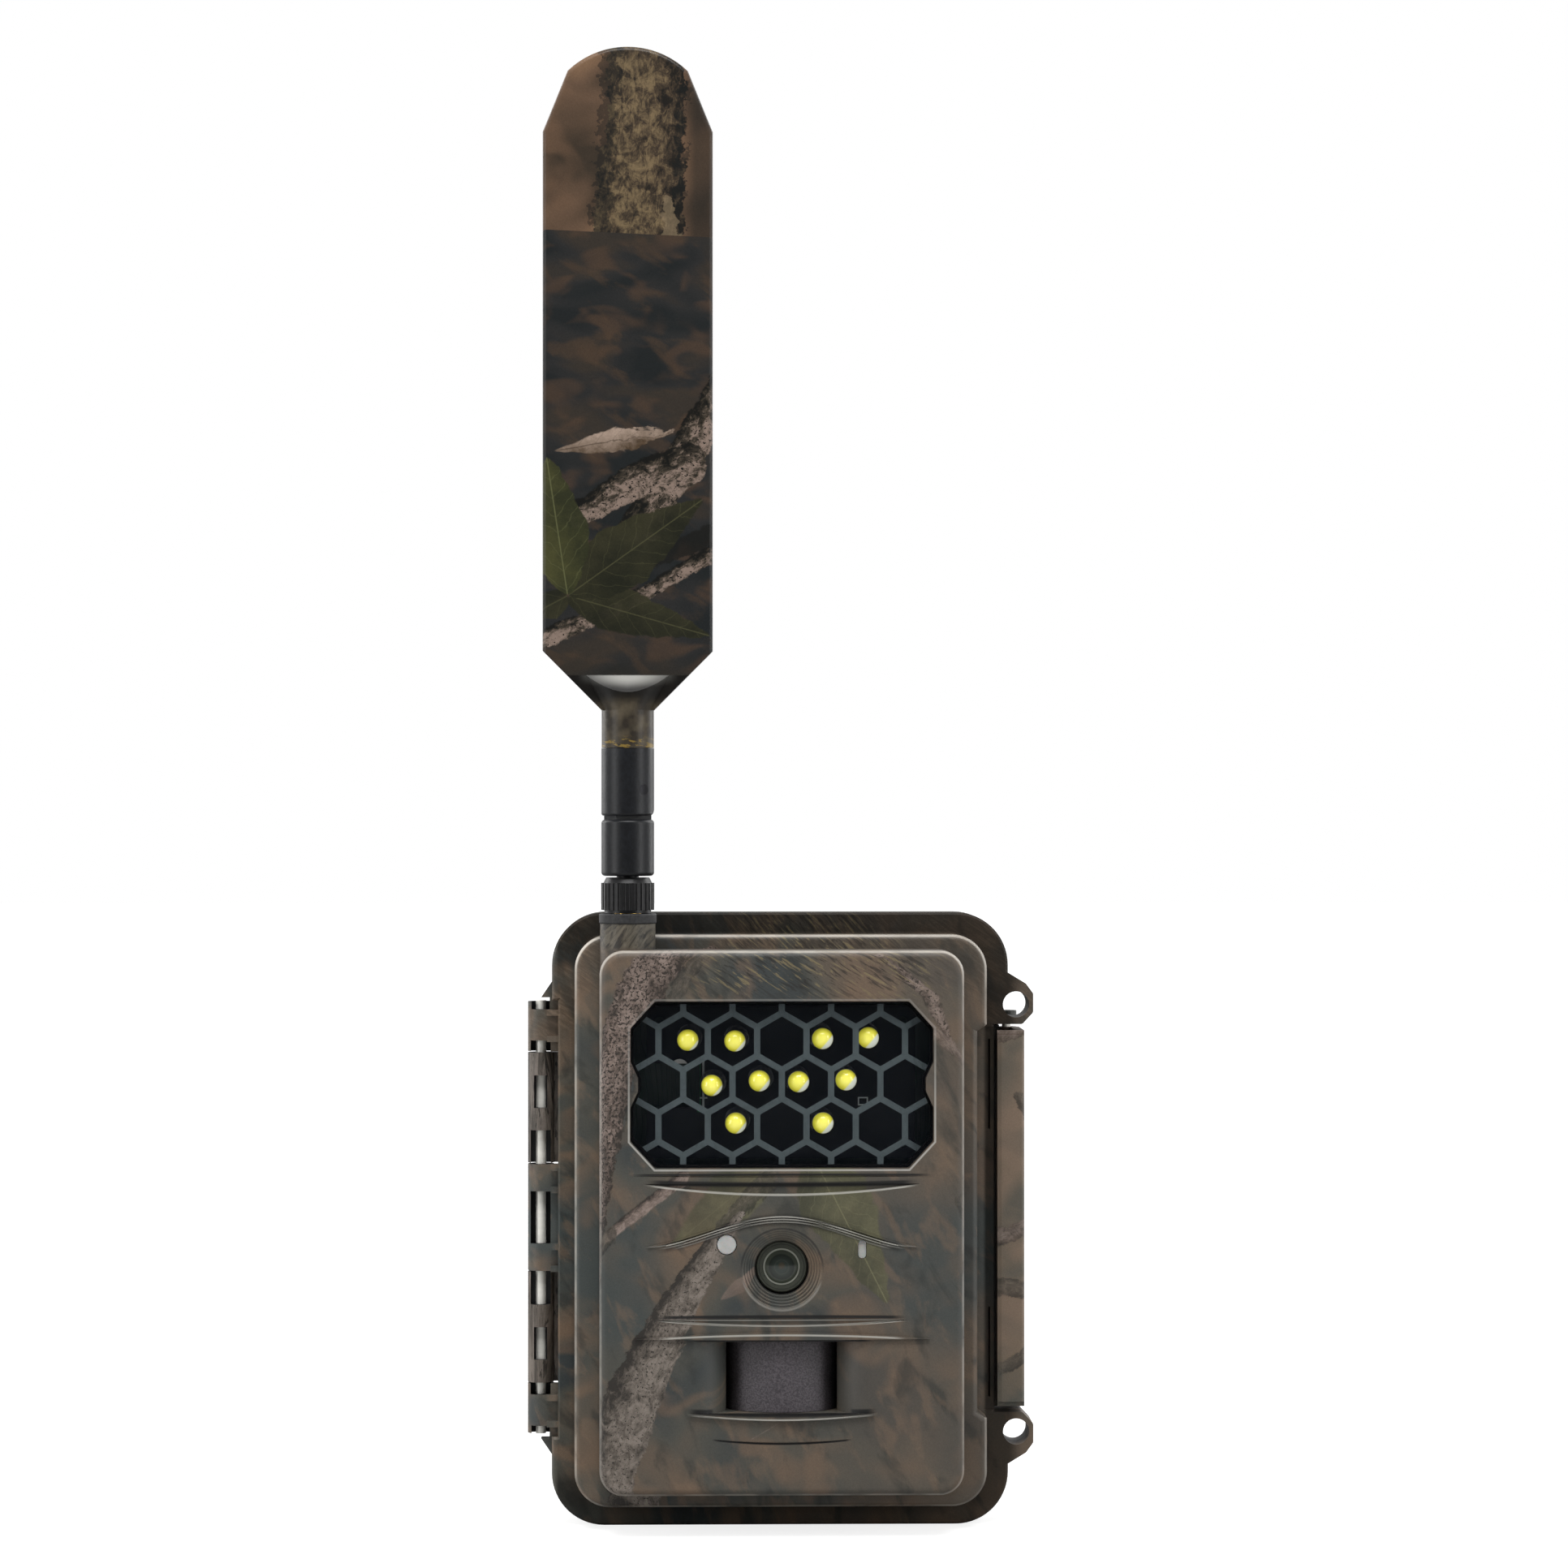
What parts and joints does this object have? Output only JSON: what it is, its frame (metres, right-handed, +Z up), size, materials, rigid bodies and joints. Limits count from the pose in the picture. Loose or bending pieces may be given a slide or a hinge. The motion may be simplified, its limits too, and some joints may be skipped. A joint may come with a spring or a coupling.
{
  "type": "trail camera",
  "caption": "Weatherproof clamshell trail camera with flash window, lens, motion sensor, tree rails and a tilting paddle antenna.",
  "frame": {"origin": "mouth of the tripod socket on the underside of the rear case", "axes": "+X to the right seen from in front of the lens, +Z up along the antenna, the lens looks along -Y"},
  "size_m": [0.1159, 0.0699, 0.3359],
  "materials": {
    "camo_front_case": "printed leaf and bark camouflage film",
    "camo_rear_case": "printed leaf and bark camouflage film",
    "camo_latch": "printed leaf and bark camouflage film",
    "camo_antenna": "printed leaf and bark camouflage film",
    "black_plastic": "fine moulded texture",
    "panel_grey": "fine moulded texture",
    "nut_black": "black oxide, knurled",
    "black_rubber": "matt",
    "window_clear": "clear smoked pane",
    "lens_glass": "coated",
    "filter_glass": "infrared cut filter",
    "display_glass": "clear",
    "mask_grey": "printed ink",
    "board_dark": "dark solder mask",
    "led_epoxy": "yellow phosphor in clear epoxy",
    "sensor_white": "translucent",
    "chip": "moulded",
    "status_amber": "clear epoxy",
    "barrel_grey": "matt",
    "curtain_grey": "finely grained polythene",
    "steel": "bright",
    "screw_steel": "zinc plated",
    "contact_nickel": "nickel plated",
    "connector_gold": "gold plated",
    "insert_brass": "turned",
    "jack_black": "moulded",
    "cell_wrap": "plain wrapper with steel ends",
    "radiator_copper": "etched copper on board",
    "cable_black": "matt sheath",
    "display_dark": "unlit display",
    "key_rubber": "silicone",
    "knob_white": "moulded",
    "switch_body": "moulded, steel plunger",
    "card_blue": "plain label",
    "card_white": "plain"
  },
  "bodies": {
    "rear_case": {"rear_shell": "camo_rear_case", "battery_tray": "black_plastic", "aa_cells": "cell_wrap", "battery_contacts": "contact_nickel", "tray_screws": "screw_steel", "case_gasket": "black_rubber", "tripod_insert": "insert_brass", "hinge_pin": "steel", "latch_pin": "steel", "dc_jack": "jack_black", "power_cable": "cable_black"},
    "front_case": {"front_shell": "camo_front_case", "led_window": "window_clear", "honeycomb_mask": "mask_grey", "led_board": "board_dark", "flash_leds": "led_epoxy", "light_sensor_window": "sensor_white", "light_sensor": "chip", "status_light_pipe": "sensor_white", "status_led": "status_amber", "lens_holder": "black_plastic", "lens_barrel": "barrel_grey", "lens_front_element": "lens_glass", "image_sensor": "chip", "pir_lens": "curtain_grey", "pir_sensor": "steel", "main_board": "board_dark", "board_screws": "screw_steel", "control_panel": "panel_grey", "panel_screws": "screw_steel", "lcd_window": "display_glass", "lcd_module": "display_dark", "tact_switches": "switch_body", "power_switch_body": "black_plastic", "sd_card_slot": "steel", "sim_card_slot": "steel", "usb_port": "steel", "antenna_connector": "connector_gold", "connector_locknut": "connector_gold", "antenna_seal": "black_rubber", "rf_cable": "cable_black"},
    "latch": {"latch_lever": "camo_latch"},
    "port_cover": {"dc_port_cover": "black_rubber"},
    "antenna_nut": {"antenna_nut": "nut_black"},
    "antenna_foot": {"antenna_base": "black_plastic"},
    "antenna_arm": {"antenna_knuckle": "black_plastic", "antenna_pivot_pin": "steel", "antenna_blade": "camo_antenna", "antenna_radiator": "radiator_copper"},
    "ir_filter": {"ir_cut_filter": "filter_glass"},
    "power_knob": {"power_switch_knob": "knob_white"},
    "sd_card": {"sd_card": "card_blue"},
    "sim_card": {"sim_card": "card_white"},
    "up_key": {"up_button": "key_rubber"},
    "down_key": {"down_button": "key_rubber"},
    "left_key": {"left_button": "key_rubber"},
    "right_key": {"right_button": "key_rubber"},
    "ok_key": {"ok_button": "key_rubber"},
    "menu_key": {"menu_button": "key_rubber"}
  },
  "joints": [
    {"name": "case_hinge", "type": "hinge", "parent": "rear_case", "child": "front_case", "pos_m": [-0.0549, -0.016, 0.07], "axis": [0, 0, -1], "range_deg": [0, 150], "deforming": ["power_cable"]},
    {"name": "latch_pivot", "type": "hinge", "parent": "rear_case", "child": "latch", "pos_m": [0.053, -0.0056, 0.07], "axis": [0, 0, 1], "range_deg": [0, 100]},
    {"name": "port_cover_flap", "type": "hinge", "parent": "rear_case", "child": "port_cover", "pos_m": [-0.022, 0.0086, 0], "axis": [1, 0, 0], "range_deg": [0, 120]},
    {"name": "antenna_nut_spin", "type": "hinge", "parent": "front_case", "child": "antenna_nut", "pos_m": [-0.0347, -0.033, 0.144], "axis": [0, 0, 1], "continuous": true},
    {"name": "antenna_swivel", "type": "hinge", "parent": "front_case", "child": "antenna_foot", "pos_m": [-0.0347, -0.033, 0.15], "axis": [0, 0, 1], "continuous": true},
    {"name": "antenna_tilt", "type": "hinge", "parent": "antenna_foot", "child": "antenna_arm", "pos_m": [-0.0347, -0.033, 0.1681], "axis": [-0.6428, 0.766, 0], "range_deg": [0, 90]},
    {"name": "ir_filter_slide", "type": "slide", "parent": "front_case", "child": "ir_filter", "axis": [1, 0, 0], "range_m": [0, 0.0096]},
    {"name": "power_switch", "type": "slide", "parent": "front_case", "child": "power_knob", "axis": [1, 0, 0], "range_m": [0, 0.0064]},
    {"name": "sd_card_slide", "type": "slide", "parent": "front_case", "child": "sd_card", "axis": [1, 0, 0], "range_m": [0, 0.024]},
    {"name": "sim_card_slide", "type": "slide", "parent": "front_case", "child": "sim_card", "axis": [-1, 0, 0], "range_m": [0, 0.0115]},
    {"name": "up_key_press", "type": "slide", "parent": "front_case", "child": "up_key", "axis": [0, -1, 0], "range_m": [0, 0.0005], "stiffness_N_per_m": 3000},
    {"name": "down_key_press", "type": "slide", "parent": "front_case", "child": "down_key", "axis": [0, -1, 0], "range_m": [0, 0.0005], "stiffness_N_per_m": 3000},
    {"name": "left_key_press", "type": "slide", "parent": "front_case", "child": "left_key", "axis": [0, -1, 0], "range_m": [0, 0.0005], "stiffness_N_per_m": 3000},
    {"name": "right_key_press", "type": "slide", "parent": "front_case", "child": "right_key", "axis": [0, -1, 0], "range_m": [0, 0.0005], "stiffness_N_per_m": 3000},
    {"name": "ok_key_press", "type": "slide", "parent": "front_case", "child": "ok_key", "axis": [0, -1, 0], "range_m": [0, 0.0005], "stiffness_N_per_m": 3000},
    {"name": "menu_key_press", "type": "slide", "parent": "front_case", "child": "menu_key", "axis": [0, -1, 0], "range_m": [0, 0.0005], "stiffness_N_per_m": 3000}
  ]
}
